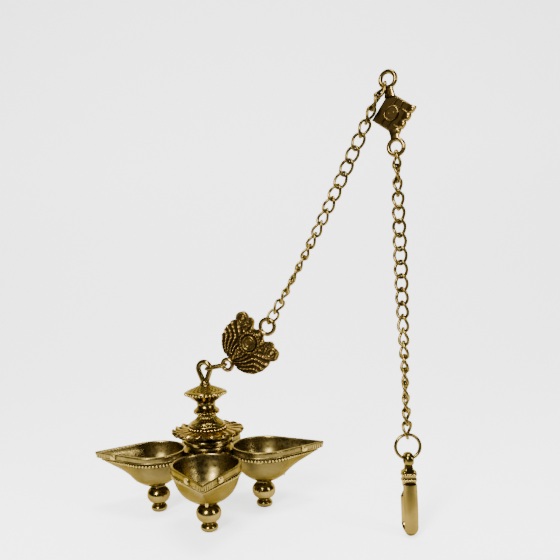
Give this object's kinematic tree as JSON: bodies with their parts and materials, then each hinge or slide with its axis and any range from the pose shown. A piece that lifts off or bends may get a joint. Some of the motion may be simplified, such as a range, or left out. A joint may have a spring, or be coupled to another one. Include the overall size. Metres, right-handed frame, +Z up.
{
  "type": "sanctuary lamp",
  "caption": "Hanging oil lamp of brass with spouted bowls round a turned column, on curb chains with a square plaque, a leaf plaque and a ceiling hook.",
  "frame": {"origin": "inside the crown of the square plaque's upper ring, where a peg carries the lamp", "axes": "+Z up; +X along the right-hand bowl, away from the lamp's left; +Y away from the front bowl"},
  "size_m": [0.2449, 0.1862, 0.3154],
  "materials": {
    "antique_brass": "satin, aged brown in the recesses"
  },
  "bodies": {
    "square_plaque": {"square_plaque": "antique_brass"},
    "upper_link_01": {"upper_link_01": "antique_brass"},
    "upper_link_02": {"upper_link_02": "antique_brass"},
    "upper_link_03": {"upper_link_03": "antique_brass"},
    "upper_link_04": {"upper_link_04": "antique_brass"},
    "upper_link_05": {"upper_link_05": "antique_brass"},
    "upper_link_06": {"upper_link_06": "antique_brass"},
    "upper_link_07": {"upper_link_07": "antique_brass"},
    "upper_link_08": {"upper_link_08": "antique_brass"},
    "upper_link_09": {"upper_link_09": "antique_brass"},
    "upper_link_10": {"upper_link_10": "antique_brass"},
    "upper_link_11": {"upper_link_11": "antique_brass"},
    "upper_link_12": {"upper_link_12": "antique_brass"},
    "upper_link_13": {"upper_link_13": "antique_brass"},
    "upper_link_14": {"upper_link_14": "antique_brass"},
    "upper_link_15": {"upper_link_15": "antique_brass"},
    "upper_link_16": {"upper_link_16": "antique_brass"},
    "upper_link_17": {"upper_link_17": "antique_brass"},
    "upper_link_18": {"upper_link_18": "antique_brass"},
    "upper_link_19": {"upper_link_19": "antique_brass"},
    "upper_link_20": {"upper_link_20": "antique_brass"},
    "upper_link_21": {"upper_link_21": "antique_brass"},
    "round_ring": {"round_ring": "antique_brass"},
    "ceiling_hook": {"ceiling_hook": "antique_brass"},
    "lower_link_01": {"lower_link_01": "antique_brass"},
    "lower_link_02": {"lower_link_02": "antique_brass"},
    "lower_link_03": {"lower_link_03": "antique_brass"},
    "lower_link_04": {"lower_link_04": "antique_brass"},
    "lower_link_05": {"lower_link_05": "antique_brass"},
    "lower_link_06": {"lower_link_06": "antique_brass"},
    "lower_link_07": {"lower_link_07": "antique_brass"},
    "lower_link_08": {"lower_link_08": "antique_brass"},
    "lower_link_09": {"lower_link_09": "antique_brass"},
    "lower_link_10": {"lower_link_10": "antique_brass"},
    "lower_link_11": {"lower_link_11": "antique_brass"},
    "lower_link_12": {"lower_link_12": "antique_brass"},
    "lower_link_13": {"lower_link_13": "antique_brass"},
    "lower_link_14": {"lower_link_14": "antique_brass"},
    "lower_link_15": {"lower_link_15": "antique_brass"},
    "lower_link_16": {"lower_link_16": "antique_brass"},
    "lower_link_17": {"lower_link_17": "antique_brass"},
    "lower_link_18": {"lower_link_18": "antique_brass"},
    "lower_link_19": {"lower_link_19": "antique_brass"},
    "lower_link_20": {"lower_link_20": "antique_brass"},
    "leaf_plaque": {"leaf_plaque": "antique_brass"},
    "oval_link": {"oval_link": "antique_brass"},
    "lamp": {"hub": "antique_brass", "lotus_flange": "antique_brass", "stem": "antique_brass", "saucer": "antique_brass", "suspension_eye": "antique_brass", "rod_nut": "antique_brass", "bowl_right": "antique_brass", "foot_right": "antique_brass", "bowl_back": "antique_brass", "foot_back": "antique_brass", "bowl_left": "antique_brass", "foot_left": "antique_brass", "bowl_front": "antique_brass", "foot_front": "antique_brass"}
  },
  "joints": [
    {"name": "upper_link_01_hinge", "type": "hinge", "parent": "square_plaque", "child": "upper_link_01", "pos_m": [0.00302, -0.00254, -0.05393], "axis": [0.766, -0.6428, 0], "range_deg": [-30, 30]},
    {"name": "upper_link_02_hinge", "type": "hinge", "parent": "upper_link_01", "child": "upper_link_02", "pos_m": [0.00302, -0.00254, -0.06255], "axis": [-0.766, 0.6428, 0], "range_deg": [-30, 30]},
    {"name": "upper_link_03_hinge", "type": "hinge", "parent": "upper_link_02", "child": "upper_link_03", "pos_m": [0.00302, -0.00254, -0.07162], "axis": [0.4384, -0.8988, 0], "range_deg": [-30, 30]},
    {"name": "upper_link_04_hinge", "type": "hinge", "parent": "upper_link_03", "child": "upper_link_04", "pos_m": [0.00302, -0.00254, -0.08069], "axis": [-0.0349, 0.9994, 0], "range_deg": [-30, 30]},
    {"name": "upper_link_05_hinge", "type": "hinge", "parent": "upper_link_04", "child": "upper_link_05", "pos_m": [0.00302, -0.00254, -0.08976], "axis": [-0.3746, -0.9272, 0], "range_deg": [-21, 30]},
    {"name": "upper_link_06_hinge", "type": "hinge", "parent": "upper_link_05", "child": "upper_link_06", "pos_m": [0.00302, -0.00254, -0.09883], "axis": [0.5194, 0.8545, 0], "range_deg": [-30, 21]},
    {"name": "upper_link_07_hinge", "type": "hinge", "parent": "upper_link_06", "child": "upper_link_07", "pos_m": [0.00302, -0.00254, -0.1079], "axis": [-0.6506, -0.7594, 0], "range_deg": [-21, 30]},
    {"name": "upper_link_08_hinge", "type": "hinge", "parent": "upper_link_07", "child": "upper_link_08", "pos_m": [0.00302, -0.00254, -0.11697], "axis": [0.7647, 0.6444, 0], "range_deg": [-30, 21]},
    {"name": "upper_link_09_hinge", "type": "hinge", "parent": "upper_link_08", "child": "upper_link_09", "pos_m": [0.00302, -0.00254, -0.12604], "axis": [-0.8587, -0.5124, 0], "range_deg": [-30, 30]},
    {"name": "upper_link_10_hinge", "type": "hinge", "parent": "upper_link_09", "child": "upper_link_10", "pos_m": [0.00302, -0.00254, -0.13511], "axis": [0.9302, 0.367, 0], "range_deg": [-30, 30]},
    {"name": "upper_link_11_hinge", "type": "hinge", "parent": "upper_link_10", "child": "upper_link_11", "pos_m": [0.00302, -0.00254, -0.14418], "axis": [-0.9773, -0.2119, 0], "range_deg": [-30, 30]},
    {"name": "upper_link_12_hinge", "type": "hinge", "parent": "upper_link_11", "child": "upper_link_12", "pos_m": [0.00302, -0.00254, -0.15325], "axis": [0.9987, 0.0513, 0], "range_deg": [-30, 30]},
    {"name": "upper_link_13_hinge", "type": "hinge", "parent": "upper_link_12", "child": "upper_link_13", "pos_m": [0.00302, -0.00254, -0.16232], "axis": [-0.9939, 0.1107, 0], "range_deg": [-30, 30]},
    {"name": "upper_link_14_hinge", "type": "hinge", "parent": "upper_link_13", "child": "upper_link_14", "pos_m": [0.00302, -0.00254, -0.17139], "axis": [0.9629, -0.2697, 0], "range_deg": [-30, 30]},
    {"name": "upper_link_15_hinge", "type": "hinge", "parent": "upper_link_14", "child": "upper_link_15", "pos_m": [0.00302, -0.00254, -0.18046], "axis": [-0.9067, 0.4217, 0], "range_deg": [-30, 30]},
    {"name": "upper_link_16_hinge", "type": "hinge", "parent": "upper_link_15", "child": "upper_link_16", "pos_m": [0.00302, -0.00254, -0.18953], "axis": [-0.8267, 0.5626, 0], "range_deg": [-30, 30]},
    {"name": "upper_link_17_hinge", "type": "hinge", "parent": "upper_link_16", "child": "upper_link_17", "pos_m": [0.00302, -0.00254, -0.1986], "axis": [0.725, -0.6887, 0], "range_deg": [-30, 30]},
    {"name": "upper_link_18_hinge", "type": "hinge", "parent": "upper_link_17", "child": "upper_link_18", "pos_m": [0.00302, -0.00254, -0.20767], "axis": [-0.6043, 0.7968, 0], "range_deg": [-30, 30]},
    {"name": "upper_link_19_hinge", "type": "hinge", "parent": "upper_link_18", "child": "upper_link_19", "pos_m": [0.00302, -0.00254, -0.21674], "axis": [0.4677, -0.8839, 0], "range_deg": [-30, 30]},
    {"name": "upper_link_20_hinge", "type": "hinge", "parent": "upper_link_19", "child": "upper_link_20", "pos_m": [0.00302, -0.00254, -0.22581], "axis": [-0.3188, 0.9478, 0], "range_deg": [-30, 30]},
    {"name": "upper_link_21_hinge", "type": "hinge", "parent": "upper_link_20", "child": "upper_link_21", "pos_m": [0.00302, -0.00254, -0.23488], "axis": [0.1615, -0.9869, 0], "range_deg": [-30, 30]},
    {"name": "round_ring_hinge", "type": "hinge", "parent": "upper_link_21", "child": "round_ring", "pos_m": [0.00302, -0.00254, -0.24395], "axis": [0, 1, 0], "range_deg": [-30, 30]},
    {"name": "ceiling_hook_hinge", "type": "hinge", "parent": "round_ring", "child": "ceiling_hook", "pos_m": [0.00302, -0.00254, -0.25817], "axis": [-1, 0, 0], "range_deg": [-30, 30]},
    {"name": "lower_link_01_hinge", "type": "hinge", "parent": "square_plaque", "child": "lower_link_01", "pos_m": [0, 0, -0.00365], "axis": [0.6428, 0.766, 0], "range_deg": [-12, 30]},
    {"name": "lower_link_02_hinge", "type": "hinge", "parent": "lower_link_01", "child": "lower_link_02", "pos_m": [-0.00728, 0.00015, -0.01437], "axis": [0.7722, -0.4974, -0.3953], "range_deg": [-30, 3]},
    {"name": "lower_link_03_hinge", "type": "hinge", "parent": "lower_link_02", "child": "lower_link_03", "pos_m": [-0.01097, 0.00195, -0.02245], "axis": [-0.4612, 0.798, 0.388], "range_deg": [-15, 30]},
    {"name": "lower_link_04_hinge", "type": "hinge", "parent": "lower_link_03", "child": "lower_link_04", "pos_m": [-0.01469, 0.00377, -0.03052], "axis": [0.0994, -0.9599, -0.2623], "range_deg": [-30, 24]},
    {"name": "lower_link_05_hinge", "type": "hinge", "parent": "lower_link_04", "child": "lower_link_05", "pos_m": [-0.01846, 0.0056, -0.03856], "axis": [0.2782, 0.9565, 0.0881], "range_deg": [-24, 30]},
    {"name": "lower_link_06_hinge", "type": "hinge", "parent": "lower_link_05", "child": "lower_link_06", "pos_m": [-0.02227, 0.00746, -0.04659], "axis": [-0.606, -0.7885, 0.105], "range_deg": [-30, 15]},
    {"name": "lower_link_07_hinge", "type": "hinge", "parent": "lower_link_06", "child": "lower_link_07", "pos_m": [-0.02611, 0.00933, -0.05458], "axis": [0.7049, 0.6867, -0.1778], "range_deg": [-15, 30]},
    {"name": "lower_link_08_hinge", "type": "hinge", "parent": "lower_link_07", "child": "lower_link_08", "pos_m": [-0.02999, 0.01123, -0.06256], "axis": [-0.7851, -0.5677, 0.2476], "range_deg": [-30, 18]},
    {"name": "lower_link_09_hinge", "type": "hinge", "parent": "lower_link_08", "child": "lower_link_09", "pos_m": [-0.03392, 0.01314, -0.07051], "axis": [0.8447, 0.4345, -0.3125], "range_deg": [-30, 30]},
    {"name": "lower_link_10_hinge", "type": "hinge", "parent": "lower_link_09", "child": "lower_link_10", "pos_m": [-0.03789, 0.01508, -0.07843], "axis": [-0.8821, -0.2906, 0.3707], "range_deg": [-30, 30]},
    {"name": "lower_link_11_hinge", "type": "hinge", "parent": "lower_link_10", "child": "lower_link_11", "pos_m": [-0.0419, 0.01703, -0.08633], "axis": [0.8964, 0.1397, -0.4206], "range_deg": [-30, 30]},
    {"name": "lower_link_12_hinge", "type": "hinge", "parent": "lower_link_11", "child": "lower_link_12", "pos_m": [-0.04595, 0.01901, -0.0942], "axis": [-0.8874, 0.0146, 0.4608], "range_deg": [-30, 30]},
    {"name": "lower_link_13_hinge", "type": "hinge", "parent": "lower_link_12", "child": "lower_link_13", "pos_m": [-0.05005, 0.02101, -0.10204], "axis": [0.8554, -0.1684, -0.4899], "range_deg": [-30, 30]},
    {"name": "lower_link_14_hinge", "type": "hinge", "parent": "lower_link_13", "child": "lower_link_14", "pos_m": [-0.05419, 0.02303, -0.10985], "axis": [-0.8013, 0.3177, 0.507], "range_deg": [-30, 30]},
    {"name": "lower_link_15_hinge", "type": "hinge", "parent": "lower_link_14", "child": "lower_link_15", "pos_m": [-0.05838, 0.02507, -0.11763], "axis": [-0.7266, 0.4588, 0.5115], "range_deg": [-30, 30]},
    {"name": "lower_link_16_hinge", "type": "hinge", "parent": "lower_link_15", "child": "lower_link_16", "pos_m": [-0.06261, 0.02714, -0.12538], "axis": [0.6334, -0.5882, -0.5028], "range_deg": [-30, 30]},
    {"name": "lower_link_17_hinge", "type": "hinge", "parent": "lower_link_16", "child": "lower_link_17", "pos_m": [-0.06689, 0.02922, -0.1331], "axis": [-0.5242, 0.7027, 0.481], "range_deg": [-30, 30]},
    {"name": "lower_link_18_hinge", "type": "hinge", "parent": "lower_link_17", "child": "lower_link_18", "pos_m": [-0.07122, 0.03134, -0.14078], "axis": [0.402, -0.7995, -0.4463], "range_deg": [-30, 30]},
    {"name": "lower_link_19_hinge", "type": "hinge", "parent": "lower_link_18", "child": "lower_link_19", "pos_m": [-0.07561, 0.03347, -0.14843], "axis": [-0.27, 0.8762, 0.3992], "range_deg": [-30, 30]},
    {"name": "lower_link_20_hinge", "type": "hinge", "parent": "lower_link_19", "child": "lower_link_20", "pos_m": [-0.08003, 0.03563, -0.15605], "axis": [-0.0936, -0.9708, -0.221], "range_deg": [-30, 30]},
    {"name": "leaf_plaque_hinge", "type": "hinge", "parent": "lower_link_20", "child": "leaf_plaque", "pos_m": [-0.08452, 0.03782, -0.16362], "axis": [0.4384, 0.8988, 0], "range_deg": [-30, 30]},
    {"name": "oval_link_hinge", "type": "hinge", "parent": "leaf_plaque", "child": "oval_link", "pos_m": [-0.12135, 0.05578, -0.19588], "axis": [-0.4384, -0.8988, 0], "range_deg": [-12, 12]},
    {"name": "lamp_hinge", "type": "hinge", "parent": "oval_link", "child": "lamp", "pos_m": [-0.13488, 0.06238, -0.19844], "axis": [0.4384, 0.8988, 0], "range_deg": [-30, 30]}
  ]
}
